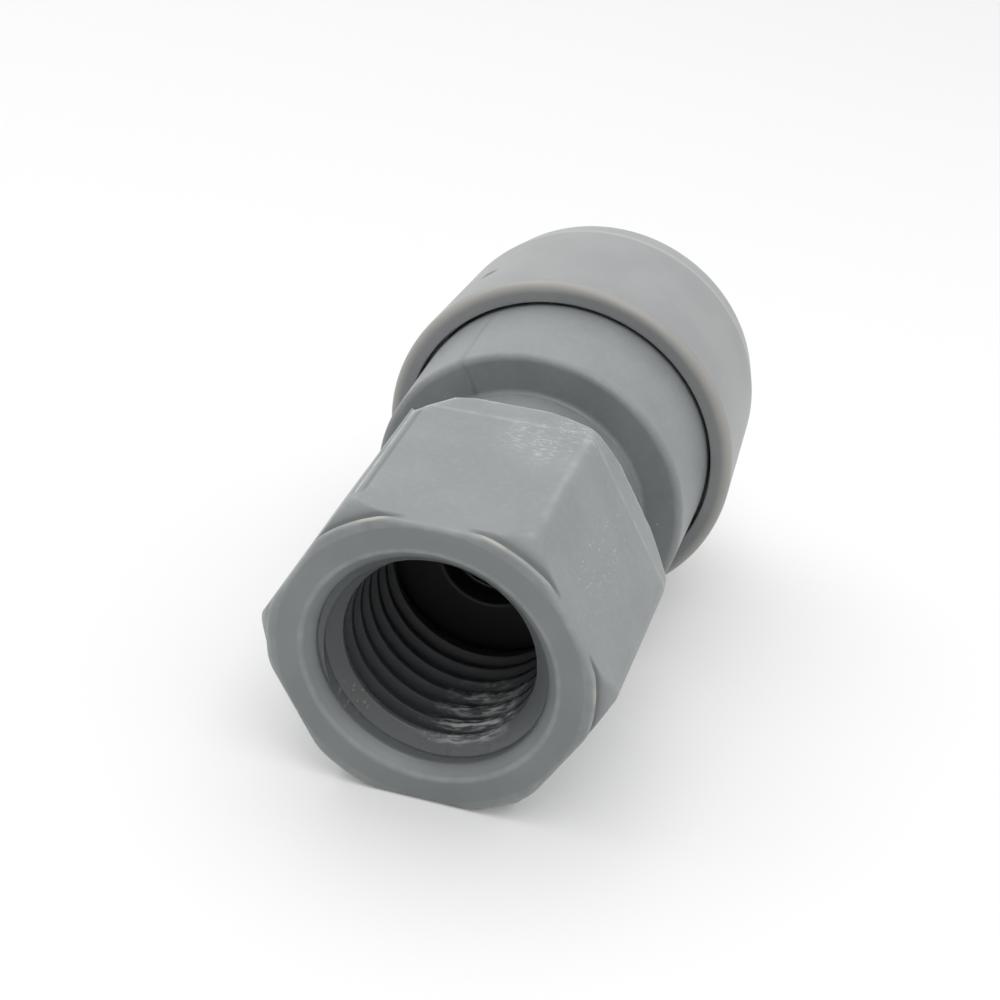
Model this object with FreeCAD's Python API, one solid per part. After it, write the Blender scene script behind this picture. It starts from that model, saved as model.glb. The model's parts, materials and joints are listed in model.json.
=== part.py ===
"""Push-fit adapter that joins a plain 8 mm tube to a 7/16-20 male flare thread.

The body is one moulding: a hexagon around the threaded port, a neck and a round barrel.
The barrel's end holds two O-rings and is closed by a retaining collar. A release collet
with steel grip teeth slides in the collar: pressed in, it lets the tube go.

Every piece is drawn around its own axis, x, from the nose face (x = 0) to the tube end.
Then all pieces are laid down together as the adapter rests: on the front edge of one
hexagon flat and on the collar's lip, with +Z up and the origin under the middle of its box.
Lengths are in millimetres, angles in degrees.
"""
import FreeCAD, Part
import math
import os

# Hexagon
HEX_ACROSS_FLATS = 16.0
HEX_LENGTH = 13.45
HEX_CORNER_ROUND = 0.8
HEX_DRAFT_ANGLE = 0.9
HEX_BEVEL_LENGTH = 2.0
HEX_BEVEL_DEPTH = 0.14
NOSE_RIM_DIAMETER = 16.64
NOSE_CHAMFER_ANGLE = 57.0
NOSE_EDGE_ROUND = 0.45
BACK_RIM_DIAMETER = 16.6
BACK_CHAMFER_ANGLE = 49.0
BACK_EDGE_ROUND = 0.25

# Threaded port in the nose
MOUTH_DIAMETER = 13.0
MOUTH_EDGE_ROUND = 0.25
MOUTH_CHAMFER = 0.6
COUNTERBORE_DIAMETER = 11.7
COUNTERBORE_DEPTH = 1.5
THREAD_LEAD_LENGTH = 0.3
THREAD_MAJOR_DIAMETER = 11.2
PORT_DEPTH = 12.2
PASSAGE_DIAMETER = 5.0

# Sealing washer on the port's floor
WASHER_THICKNESS = 1.4
WASHER_BORE_DIAMETER = 5.4
WASHER_GROOVE_DIAMETER = 11.6
WASHER_GROOVE_MARGIN = 0.2
WASHER_CLEARANCE = 0.1
WASHER_EDGE_ROUND = 0.2

# Neck and barrel
NECK_DIAMETER = 13.2
NECK_ROOT_ROUND = 0.3
SHOULDER_PLACE = 17.8
SHOULDER_ROUND = 0.4
BARREL_FRONT_DIAMETER = 17.9
BARREL_DIAMETER = 18.3
SPIGOT_DIAMETER = 16.7
SPIGOT_END = 30.0
SPIGOT_STEP_BEHIND_LIP = 1.25

# Tube and the seats it passes
TUBE_DIAMETER = 8.0
TUBE_CLEARANCE = 0.1
TUBE_STOP_PLACE = 17.0
TUBE_GUIDE_LENGTH = 2.0
GLAND_DIAMETER = 11.7
SEAT_CLEARANCE = 0.05

# O-rings and the rings that hold them
O_RING_SECTION = 2.0
SPACER_LENGTH = 1.0
BACKING_SLEEVE_LENGTH = 1.6
BACKING_FLANGE_LENGTH = 0.8
BACKING_FLANGE_MARGIN = 0.1
RING_EDGE_ROUND = 0.15

# Chamber for the collet's fingers
CHAMBER_DIAMETER = 14.6

# Retaining collar
COLLAR_FRONT_PLACE = 24.45
COLLAR_BACK_PLACE = 36.6
COLLAR_LIP_DIAMETER = 21.1
COLLAR_BACK_DIAMETER = 20.2
COLLAR_LIP_ROUND = 0.25
COLLAR_BACK_ROUND = 1.2
COLLAR_MOUTH_ROUND = 0.4
LIP_GAP = 0.25
CAM_LENGTH = 2.4
CAM_END_DIAMETER = 12.4
COLLAR_END_WALL = 1.7
COLLAR_OPENING_GAP = 0.3

# Release collet
COLLET_NECK_DIAMETER = 11.3
COLLET_FLANGE_DIAMETER = 14.4
COLLET_FLANGE_LENGTH = 1.8
COLLET_FLANGE_ROUND = 0.5
COLLET_ENTRY_CHAMFER = 0.5
COLLET_TRAVEL = 1.5
COLLET_END_GAP = 0.3
FINGER_COUNT = 6
FINGER_SLOT_WIDTH = 0.9
FINGER_DIAMETER = 10.7
FINGER_BORE_RELIEF = 0.2
FINGER_HEAD_DIAMETER = 13.5
FINGER_HEAD_SLOPE_LENGTH = 2.2
FINGER_TIP_ROUND = 0.3
CAM_GAP = 0.4

# Steel grip teeth, one in each finger
TOOTH_WIDTH = 2.2
TOOTH_THICKNESS = 0.35
TOOTH_ANGLE = 55.0
TOOTH_BITE = 0.3
TOOTH_DEPTH_IN_FINGER = 1.3
TOOTH_BEHIND_TIP = 1.0
TOOTH_CLEARANCE = 0.04

AXIS_START = FreeCAD.Vector(0, 0, 0)
AXIS = FreeCAD.Vector(1, 0, 0)
TILT_AXIS = FreeCAD.Vector(0, 1, 0)
FULL_TURN = 360.0
HEX_SIDES = 6
CUT_OVERRUN = 1.0


def side_plane(x, r):
    """Point of the lengthwise section: x along the axis, r out from it."""
    return FreeCAD.Vector(x, 0, r)


def cross_plane(x):
    """Return a function that puts a point (y, z) into the plane across the axis at x."""
    return lambda y, z: FreeCAD.Vector(x, y, z)


def rounded_outline(corners, to_space):
    """Closed wire through corners (u, v, round), each turned by an arc of its own radius."""
    legs = []
    count = len(corners)
    for i, (u, v, radius) in enumerate(corners):
        here = FreeCAD.Vector(u, v, 0)
        back = FreeCAD.Vector(*corners[i - 1][:2], 0) - here
        ahead = FreeCAD.Vector(*corners[(i + 1) % count][:2], 0) - here
        back.normalize()
        ahead.normalize()
        if radius == 0:
            legs.append((here, None, here))
            continue
        half = back.getAngle(ahead) / 2
        trim = radius / math.tan(half)
        middle = (back + ahead).normalize()
        centre_distance = radius / math.sin(half)
        legs.append((here + back * trim, here + middle * (centre_distance - radius), here + ahead * trim))
    edges = []
    place = lambda p: to_space(p.x, p.y)
    for i, (start, top, end) in enumerate(legs):
        if top is not None:
            edges.append(Part.Arc(place(start), place(top), place(end)).toShape())
        next_start = legs[(i + 1) % count][0]
        edges.append(Part.LineSegment(place(end), place(next_start)).toShape())
    return Part.Wire(edges)


def turned(*corners):
    """Solid of revolution of a closed section, whose corners are (x, r) or (x, r, round)."""
    full = [corner if len(corner) == 3 else (*corner, 0) for corner in corners]
    section = Part.Face(rounded_outline(full, side_plane))
    return section.revolve(AXIS_START, AXIS, FULL_TURN)


def hexagon_wire(across_flats, x):
    """Hexagon across the axis at x, with a flat at the top and one at the bottom."""
    corner_radius = across_flats / 2 / math.cos(math.pi / HEX_SIDES)
    corners = []
    for k in range(HEX_SIDES):
        angle = 2 * math.pi * k / HEX_SIDES
        corners.append((corner_radius * math.cos(angle), corner_radius * math.sin(angle), HEX_CORNER_ROUND))
    return rounded_outline(corners, cross_plane(x))


# Places that follow from the sizes
HEX_BEVEL_START = HEX_LENGTH - HEX_BEVEL_LENGTH
HEX_DRAFT = HEX_BEVEL_START * math.tan(math.radians(HEX_DRAFT_ANGLE))
HEX_WIDEST_ACROSS = HEX_ACROSS_FLATS + 2 * HEX_DRAFT
HEX_WIDEST_RADIUS = HEX_WIDEST_ACROSS / 2 / math.cos(math.pi / HEX_SIDES)
WASHER_GROOVE_START = PORT_DEPTH - WASHER_THICKNESS - WASHER_GROOVE_MARGIN
TUBE_BORE_RADIUS = TUBE_DIAMETER / 2 + TUBE_CLEARANCE
GLAND_START = TUBE_STOP_PLACE + TUBE_GUIDE_LENGTH
INNER_O_RING_PLACE = GLAND_START + SEAT_CLEARANCE + O_RING_SECTION / 2
SPACER_START = INNER_O_RING_PLACE + O_RING_SECTION / 2 + SEAT_CLEARANCE
OUTER_O_RING_PLACE = SPACER_START + SPACER_LENGTH + SEAT_CLEARANCE + O_RING_SECTION / 2
BACKING_START = OUTER_O_RING_PLACE + O_RING_SECTION / 2 + SEAT_CLEARANCE
CHAMBER_START = BACKING_START + BACKING_SLEEVE_LENGTH
BACKING_END = CHAMBER_START + BACKING_FLANGE_LENGTH
COLLET_TIP = BACKING_END + COLLET_END_GAP + COLLET_TRAVEL
SPIGOT_START = COLLAR_FRONT_PLACE + SPIGOT_STEP_BEHIND_LIP
CAM_START = SPIGOT_END
CAM_END = CAM_START + CAM_LENGTH
COLLAR_WALL_START = COLLAR_BACK_PLACE - COLLAR_END_WALL
COLLET_FLANGE_START = COLLAR_BACK_PLACE + COLLET_END_GAP + COLLET_TRAVEL
COLLET_END = COLLET_FLANGE_START + COLLET_FLANGE_LENGTH


def make_hexagon():
    """Drafted hexagon with rounded corners, a shallow bevel at its back and both ends turned down."""
    front_end = hexagon_wire(HEX_ACROSS_FLATS, 0)
    widest = hexagon_wire(HEX_WIDEST_ACROSS, HEX_BEVEL_START)
    back_end = hexagon_wire(HEX_WIDEST_ACROSS - 2 * HEX_BEVEL_DEPTH, HEX_LENGTH)
    front = Part.makeLoft([front_end, widest], True, True)
    back = Part.makeLoft([widest, back_end], True, True)
    nose_run = (HEX_WIDEST_RADIUS - NOSE_RIM_DIAMETER / 2) * math.tan(math.radians(NOSE_CHAMFER_ANGLE))
    back_run = (HEX_WIDEST_RADIUS - BACK_RIM_DIAMETER / 2) * math.tan(math.radians(BACK_CHAMFER_ANGLE))
    envelope = turned(
        (0, 0),
        (0, NOSE_RIM_DIAMETER / 2, NOSE_EDGE_ROUND),
        (nose_run, HEX_WIDEST_RADIUS),
        (HEX_LENGTH - back_run, HEX_WIDEST_RADIUS),
        (HEX_LENGTH, BACK_RIM_DIAMETER / 2, BACK_EDGE_ROUND),
        (HEX_LENGTH, 0),
    )
    return front.fuse(back).common(envelope)


def make_body():
    """The moulding: hexagon, neck and barrel, with the port and the tube socket cut into it."""
    barrel = turned(
        (HEX_BEVEL_START, 0),
        (HEX_BEVEL_START, NECK_DIAMETER / 2),
        (SHOULDER_PLACE, NECK_DIAMETER / 2, NECK_ROOT_ROUND),
        (SHOULDER_PLACE, BARREL_FRONT_DIAMETER / 2, SHOULDER_ROUND),
        (SPIGOT_START, BARREL_DIAMETER / 2),
        (SPIGOT_START, SPIGOT_DIAMETER / 2),
        (SPIGOT_END, SPIGOT_DIAMETER / 2),
        (SPIGOT_END, 0),
    )
    mouth_radius = MOUTH_DIAMETER / 2
    port = turned(
        (-CUT_OVERRUN, 0),
        (-CUT_OVERRUN, mouth_radius + CUT_OVERRUN),
        (0, mouth_radius + CUT_OVERRUN),
        (0, mouth_radius, MOUTH_EDGE_ROUND),
        (MOUTH_CHAMFER, mouth_radius - MOUTH_CHAMFER, MOUTH_EDGE_ROUND),
        (COUNTERBORE_DEPTH, COUNTERBORE_DIAMETER / 2),
        (COUNTERBORE_DEPTH + THREAD_LEAD_LENGTH, THREAD_MAJOR_DIAMETER / 2),
        (WASHER_GROOVE_START, THREAD_MAJOR_DIAMETER / 2),
        (WASHER_GROOVE_START, WASHER_GROOVE_DIAMETER / 2),
        (PORT_DEPTH, WASHER_GROOVE_DIAMETER / 2),
        (PORT_DEPTH, 0),
    )
    socket = turned(
        (PORT_DEPTH - CUT_OVERRUN, 0),
        (PORT_DEPTH - CUT_OVERRUN, PASSAGE_DIAMETER / 2),
        (TUBE_STOP_PLACE, PASSAGE_DIAMETER / 2),
        (TUBE_STOP_PLACE, TUBE_BORE_RADIUS),
        (GLAND_START, TUBE_BORE_RADIUS),
        (GLAND_START, GLAND_DIAMETER / 2),
        (CHAMBER_START, GLAND_DIAMETER / 2),
        (CHAMBER_START, CHAMBER_DIAMETER / 2),
        (SPIGOT_END + CUT_OVERRUN, CHAMBER_DIAMETER / 2),
        (SPIGOT_END + CUT_OVERRUN, 0),
    )
    return make_hexagon().fuse(barrel).cut(port).cut(socket).removeSplitter()


def make_port_washer():
    """Flat rubber washer held in its groove at the floor of the port, where the flare seals."""
    front = PORT_DEPTH - WASHER_THICKNESS
    inner = WASHER_BORE_DIAMETER / 2
    outer = WASHER_GROOVE_DIAMETER / 2 - WASHER_CLEARANCE
    return turned(
        (front, inner, WASHER_EDGE_ROUND),
        (front, outer, WASHER_EDGE_ROUND),
        (PORT_DEPTH, outer),
        (PORT_DEPTH, inner),
    )


def make_o_ring(place):
    """O-ring that lies against the gland's wall, centred at place."""
    section_radius = O_RING_SECTION / 2
    ring_radius = GLAND_DIAMETER / 2 - SEAT_CLEARANCE - section_radius
    return Part.makeTorus(ring_radius, section_radius, FreeCAD.Vector(place, 0, 0), AXIS)


def make_spacer_ring():
    """Plain ring that keeps the two O-rings apart."""
    return turned(
        (SPACER_START, TUBE_BORE_RADIUS, RING_EDGE_ROUND),
        (SPACER_START, GLAND_DIAMETER / 2 - SEAT_CLEARANCE, RING_EDGE_ROUND),
        (SPACER_START + SPACER_LENGTH, GLAND_DIAMETER / 2 - SEAT_CLEARANCE, RING_EDGE_ROUND),
        (SPACER_START + SPACER_LENGTH, TUBE_BORE_RADIUS, RING_EDGE_ROUND),
    )


def make_backing_ring():
    """Flanged ring that closes the gland and seats on the step behind it."""
    sleeve_radius = GLAND_DIAMETER / 2 - SEAT_CLEARANCE
    flange_radius = CHAMBER_DIAMETER / 2 - BACKING_FLANGE_MARGIN
    return turned(
        (BACKING_START, TUBE_BORE_RADIUS, RING_EDGE_ROUND),
        (BACKING_START, sleeve_radius, RING_EDGE_ROUND),
        (CHAMBER_START, sleeve_radius),
        (CHAMBER_START, flange_radius, RING_EDGE_ROUND),
        (BACKING_END, flange_radius, RING_EDGE_ROUND),
        (BACKING_END, TUBE_BORE_RADIUS, RING_EDGE_ROUND),
    )


def make_collar():
    """Retaining collar: a sleeve over the barrel's end, with the cam that closes the fingers."""
    lip_radius = BARREL_DIAMETER / 2 + LIP_GAP
    opening_radius = COLLET_NECK_DIAMETER / 2 + COLLAR_OPENING_GAP
    return turned(
        (COLLAR_FRONT_PLACE, lip_radius),
        (COLLAR_FRONT_PLACE, COLLAR_LIP_DIAMETER / 2, COLLAR_LIP_ROUND),
        (COLLAR_BACK_PLACE, COLLAR_BACK_DIAMETER / 2, COLLAR_BACK_ROUND),
        (COLLAR_BACK_PLACE, opening_radius, COLLAR_MOUTH_ROUND),
        (COLLAR_WALL_START, opening_radius),
        (COLLAR_WALL_START, CAM_END_DIAMETER / 2),
        (CAM_END, CAM_END_DIAMETER / 2),
        (CAM_START, CHAMBER_DIAMETER / 2),
        (CAM_START, SPIGOT_DIAMETER / 2),
        (SPIGOT_START, SPIGOT_DIAMETER / 2),
        (SPIGOT_START, lip_radius),
    )


def cam_slope():
    """Fall of the collar's cam for each millimetre along the axis."""
    return (CHAMBER_DIAMETER - CAM_END_DIAMETER) / 2 / CAM_LENGTH


def tooth_blank(clearance):
    """Blade through the top finger, leaning so that its edge points inwards and to the nose."""
    edge_radius = TUBE_DIAMETER / 2 - TOOTH_BITE
    reach = TUBE_BORE_RADIUS + TOOTH_DEPTH_IN_FINGER - edge_radius
    blade_length = reach / math.sin(math.radians(TOOTH_ANGLE))
    width = TOOTH_WIDTH + 2 * clearance
    thickness = TOOTH_THICKNESS + 2 * clearance
    blade = Part.makeBox(
        blade_length + clearance, width, thickness, FreeCAD.Vector(0, -width / 2, -thickness / 2)
    )
    blade.rotate(AXIS_START, TILT_AXIS, -TOOTH_ANGLE)
    blade.translate(FreeCAD.Vector(COLLET_TIP + TOOTH_BEHIND_TIP, 0, edge_radius))
    return blade


def finger_angle(k):
    """Turn of finger k about the axis, counted from the top."""
    return FULL_TURN * k / FINGER_COUNT


def make_collet():
    """Release collet: entry flange, neck and slotted fingers with heads that ride the cam."""
    slope = cam_slope()
    head_radius = FINGER_HEAD_DIAMETER / 2
    cam_offset = CAM_GAP / math.cos(math.atan(slope))
    head_end = CAM_START + (CHAMBER_DIAMETER / 2 - cam_offset - head_radius) / slope
    slope_end = head_end + FINGER_HEAD_SLOPE_LENGTH
    slope_end_radius = head_radius - slope * FINGER_HEAD_SLOPE_LENGTH
    neck_start = COLLAR_WALL_START - COLLET_END_GAP
    finger_bore_radius = TUBE_BORE_RADIUS + FINGER_BORE_RELIEF
    collet = turned(
        (COLLET_TIP, finger_bore_radius, FINGER_TIP_ROUND),
        (COLLET_TIP, head_radius, FINGER_TIP_ROUND),
        (head_end, head_radius),
        (slope_end, slope_end_radius),
        (slope_end, FINGER_DIAMETER / 2),
        (neck_start, FINGER_DIAMETER / 2),
        (neck_start, COLLET_NECK_DIAMETER / 2),
        (COLLET_FLANGE_START, COLLET_NECK_DIAMETER / 2),
        (COLLET_FLANGE_START, COLLET_FLANGE_DIAMETER / 2, COLLET_FLANGE_ROUND),
        (COLLET_END, COLLET_FLANGE_DIAMETER / 2, COLLET_FLANGE_ROUND),
        (COLLET_END, TUBE_BORE_RADIUS + COLLET_ENTRY_CHAMFER),
        (COLLET_END - COLLET_ENTRY_CHAMFER, TUBE_BORE_RADIUS),
        (neck_start, TUBE_BORE_RADIUS),
        (neck_start - FINGER_BORE_RELIEF, finger_bore_radius),
    )
    slot_length = neck_start - COLLET_TIP
    slot = Part.makeBox(
        slot_length + CUT_OVERRUN, FINGER_SLOT_WIDTH, head_radius + CUT_OVERRUN,
        FreeCAD.Vector(COLLET_TIP - CUT_OVERRUN, -FINGER_SLOT_WIDTH / 2, 0),
    )
    half_pitch = finger_angle(1) / 2
    cuts = []
    for k in range(FINGER_COUNT):
        gap = slot.copy()
        gap.rotate(AXIS_START, AXIS, finger_angle(k) + half_pitch)
        seat = tooth_blank(TOOTH_CLEARANCE)
        seat.rotate(AXIS_START, AXIS, finger_angle(k))
        cuts += [gap, seat]
    return collet.cut(cuts)


def make_tooth(k):
    """Steel tooth of finger k, with its edge hollowed to the round of the tube."""
    tooth = tooth_blank(0)
    edge_round = TUBE_DIAMETER / 2 - TOOTH_BITE
    bore = Part.makeCylinder(edge_round, COLLET_END, AXIS_START, AXIS)
    tooth = tooth.cut(bore)
    tooth.rotate(AXIS_START, AXIS, finger_angle(k))
    return tooth


def resting_tilt():
    """Angle by which the axis rises to the tube end when hexagon and collar both touch down."""
    lip_centre_place = COLLAR_FRONT_PLACE + COLLAR_LIP_ROUND
    lip_centre_radius = COLLAR_LIP_DIAMETER / 2 - COLLAR_LIP_ROUND
    rise = lip_centre_radius - HEX_ACROSS_FLATS / 2
    reach = math.hypot(lip_centre_place, rise)
    return math.degrees(math.asin(COLLAR_LIP_ROUND / reach) + math.atan2(rise, lip_centre_place))


def lay_down(pieces):
    """Tilt all pieces to rest, and put the middle of their box's floor at the origin."""
    tilt = FreeCAD.Placement(AXIS_START, FreeCAD.Rotation(TILT_AXIS, -resting_tilt()))
    for shape in pieces.values():
        shape.Placement = tilt.multiply(shape.Placement)
    box = Part.makeCompound(list(pieces.values())).optimalBoundingBox(False, False)
    shift = FreeCAD.Vector(-(box.XMin + box.XMax) / 2, -(box.YMin + box.YMax) / 2, -box.ZMin)
    for shape in pieces.values():
        shape.translate(shift)
    return shift


def make_pieces():
    """Every piece of the adapter by its name, still upright on its own axis."""
    pieces = {
        "body": make_body(),
        "port_washer": make_port_washer(),
        "inner_o_ring": make_o_ring(INNER_O_RING_PLACE),
        "spacer_ring": make_spacer_ring(),
        "outer_o_ring": make_o_ring(OUTER_O_RING_PLACE),
        "backing_ring": make_backing_ring(),
        "retaining_collar": make_collar(),
        "release_collet": make_collet(),
    }
    for k in range(FINGER_COUNT):
        pieces[f"grip_tooth_{k + 1}"] = make_tooth(k)
    return pieces


def main():
    """Build the pieces, lay them down and write one STEP file for each."""
    os.makedirs("parts", exist_ok=True)
    pieces = make_pieces()
    shift = lay_down(pieces)
    for name, shape in pieces.items():
        shape.exportStep(f"parts/{name}.step")
        print(f"{name}: {len(shape.Solids)} solid, {shape.Volume:.1f} cubic mm, valid {shape.isValid()}")
    print(f"tilt {resting_tilt():.4f} degrees, nose centre at x {shift.x:.4f}, z {shift.z:.4f} mm")
    return pieces, shift


main()
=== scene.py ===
"""Looks of a grey plastic push-fit adapter that rests on its side, seen from its threaded nose.

New pieces are modelled around the adapter's own axis: x runs from the nose face to the tube end,
angles are counted from the left (+y) towards the top (+z), and lengths are in millimetres.
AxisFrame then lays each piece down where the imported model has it.
"""

import json
import logging
import math
from dataclasses import dataclass, replace
from enum import Enum

import bmesh
import bpy
from mathutils import Matrix, Quaternion, Vector, noise

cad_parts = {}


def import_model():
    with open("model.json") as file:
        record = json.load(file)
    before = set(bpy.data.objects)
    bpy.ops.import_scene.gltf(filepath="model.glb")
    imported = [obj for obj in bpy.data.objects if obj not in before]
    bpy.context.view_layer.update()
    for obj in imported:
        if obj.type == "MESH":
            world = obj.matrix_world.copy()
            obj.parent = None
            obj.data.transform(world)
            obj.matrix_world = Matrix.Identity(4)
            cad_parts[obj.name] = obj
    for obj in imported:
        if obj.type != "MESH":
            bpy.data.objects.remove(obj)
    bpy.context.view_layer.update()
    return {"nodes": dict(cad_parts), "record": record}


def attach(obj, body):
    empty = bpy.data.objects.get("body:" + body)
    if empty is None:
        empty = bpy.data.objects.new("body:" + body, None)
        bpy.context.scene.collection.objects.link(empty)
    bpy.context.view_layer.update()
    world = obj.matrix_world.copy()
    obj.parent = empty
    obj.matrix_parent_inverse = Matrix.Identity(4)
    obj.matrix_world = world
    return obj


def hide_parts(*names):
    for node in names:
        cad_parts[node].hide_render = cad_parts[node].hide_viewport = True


LOG = logging.getLogger("push_fit_adapter")
MM = 0.001
FULL_TURN = 2 * math.pi
HALF_SIDE = math.pi / 6
Colour = tuple[float, float, float, float]


class Body(Enum):
    """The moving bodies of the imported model."""

    FITTING = "fitting"
    COLLET = "collet"


class Slot(Enum):
    """The record's material slots."""

    MOULDING = "grey_moulding"
    COLLAR = "collar_moulding"
    COLLET = "collet_moulding"
    WASHER = "black_rubber"
    SEAL = "seal_rubber"
    RING = "ring_plastic"
    TOOTH = "tooth_steel"


@dataclass(frozen=True)
class AxisFrame:
    """Where the adapter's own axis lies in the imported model.

    Attributes:
        nose: centre of the nose face, in metres.
        along: unit vector from the nose to the tube end.
    """

    nose: Vector
    along: Vector

    @classmethod
    def from_record(cls, record: dict, nose_to_mount: float) -> "AxisFrame":
        """Read the axis from the threaded port's mount.

        Args:
            record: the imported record.
            nose_to_mount: distance from the nose face to the mount's point, in millimetres.

        Returns:
            The frame of the adapter's axis.
        """
        port = next(mount for mount in record["mounts"] if mount["name"] == "threaded_port")
        along = -Vector(port["axis"]).normalized()
        return cls(Vector(port["pos_m"]) - along * nose_to_mount * MM, along)

    @property
    def turn(self) -> Matrix:
        """Rotation from the adapter's own axes to the model's."""
        side = Vector((0.0, 1.0, 0.0))
        return Matrix((self.along, side, self.along.cross(side))).transposed()

    @property
    def matrix(self) -> Matrix:
        """Transform from millimetres on the adapter's own axes to metres in the model."""
        return Matrix.Translation(self.nose) @ self.turn.to_4x4() @ Matrix.Scale(MM, 4)


@dataclass(frozen=True)
class Corner:
    """Corner of a turned section.

    Attributes:
        x: place along the axis.
        r: distance from the axis.
        round: radius of the arc that replaces the corner.
        pitch: longest distance between points on the leg that leaves the corner.
    """

    x: float
    r: float
    round: float = 0.08
    pitch: float = 3.0

    @property
    def point(self) -> Vector:
        """The corner in the plane of the section."""
        return Vector((self.x, self.r))


@dataclass(frozen=True)
class Lathe:
    """Turns a closed section into a ring-shaped mesh or a helix.

    Attributes:
        steps: number of steps of a full turn.
        sectors: number of equal sectors that the turn is copied from.
        arc_steps: number of steps of each corner's arc.
        small_round: rounds up to this radius take the fewer steps below.
        small_arc_steps: number of steps of a small round's arc.
        support: distance of the extra points that hold a leg's shading beside an arc.
        seam: distance within which the sectors' edges are joined.
    """

    steps: int = 240
    sectors: int = 12
    arc_steps: int = 4
    small_round: float = 0.1
    small_arc_steps: int = 2
    support: float = 0.05
    seam: float = 0.0005

    def corner_arc(self, before: Corner, corner: Corner, after: Corner) -> list[Vector]:
        """Points of the arc that rounds a corner.

        Args:
            before: the corner before it.
            corner: the corner to round.
            after: the corner after it.

        Returns:
            The arc's points, or the corner alone if it has no round.
        """
        if corner.round == 0:
            return [corner.point]
        back = (before.point - corner.point).normalized()
        ahead = (after.point - corner.point).normalized()
        half = back.angle(ahead) / 2
        centre = corner.point + (back + ahead).normalized() * corner.round / math.sin(half)
        start = corner.point + back * corner.round / math.tan(half) - centre
        end = corner.point + ahead * corner.round / math.tan(half) - centre
        sweep = math.copysign(math.pi - 2 * half, start.x * end.y - start.y * end.x)
        steps = self.arc_steps if corner.round > self.small_round else self.small_arc_steps
        shares = [i / steps for i in range(steps + 1)]
        return [centre + Matrix.Rotation(sweep * share, 2) @ start for share in shares]

    def outline(self, corners: list[Corner]) -> list[Vector]:
        """Points of a closed section.

        Args:
            corners: the section's corners in order.

        Returns:
            Its points, with arcs at the corners and extra points on the legs.
        """
        count = len(corners)
        arcs = [self.corner_arc(corners[i - 1], corners[i], corners[(i + 1) % count]) for i in range(count)]
        points = []
        for i, arc in enumerate(arcs):
            points += arc
            start = arc[-1]
            end = arcs[(i + 1) % count][0]
            length = (end - start).length
            if length < 3 * self.support:
                continue
            inner = length - 2 * self.support
            pieces = max(1, math.ceil(inner / corners[i].pitch))
            for k in range(pieces + 1):
                points.append(start.lerp(end, (self.support + inner * k / pieces) / length))
        return points

    def swept(self, corners: list[Corner], start: Matrix, lead: float, sectors: int) -> bmesh.types.BMesh:
        """Spin a closed section about the adapter's axis, sector by sector.

        Args:
            corners: the section's corners in order.
            start: turn that lays the section at its start.
            lead: advance along the axis for each full turn.
            sectors: number of sectors to sweep.

        Returns:
            The mesh, open at both ends unless it closes on itself.
        """
        mesh = bmesh.new()
        verts = [mesh.verts.new(start @ Vector((p.x, 0.0, p.y))) for p in self.outline(corners)]
        edges = [mesh.edges.new(pair) for pair in zip(verts, verts[1:] + verts[:1])]
        sector_turn = FULL_TURN / self.sectors
        sector_lead = lead / self.sectors
        bmesh.ops.spin(
            mesh, geom=verts + edges, cent=(0, 0, 0), axis=(1, 0, 0),
            dvec=(lead / self.steps, 0, 0), angle=sector_turn, steps=self.steps // self.sectors,
        )
        first = mesh.verts[:] + mesh.edges[:] + mesh.faces[:]
        for k in range(1, sectors):
            copied = bmesh.ops.duplicate(mesh, geom=first)["geom"]
            moved = [part for part in copied if isinstance(part, bmesh.types.BMVert)]
            turn = Matrix.Rotation(sector_turn * k, 3, "X")
            bmesh.ops.rotate(mesh, cent=(0, 0, 0), matrix=turn, verts=moved)
            bmesh.ops.translate(mesh, vec=(sector_lead * k, 0, 0), verts=moved)
        bmesh.ops.remove_doubles(mesh, verts=mesh.verts, dist=self.seam)
        return mesh

    def turned(self, corners: list[Corner]) -> bmesh.types.BMesh:
        """Spin a closed section through a full turn.

        Args:
            corners: the section's corners in order.

        Returns:
            The mesh, with its faces outwards.
        """
        mesh = self.swept(corners, Matrix.Identity(3), 0.0, self.sectors)
        bmesh.ops.recalc_face_normals(mesh, faces=mesh.faces)
        return mesh


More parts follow.
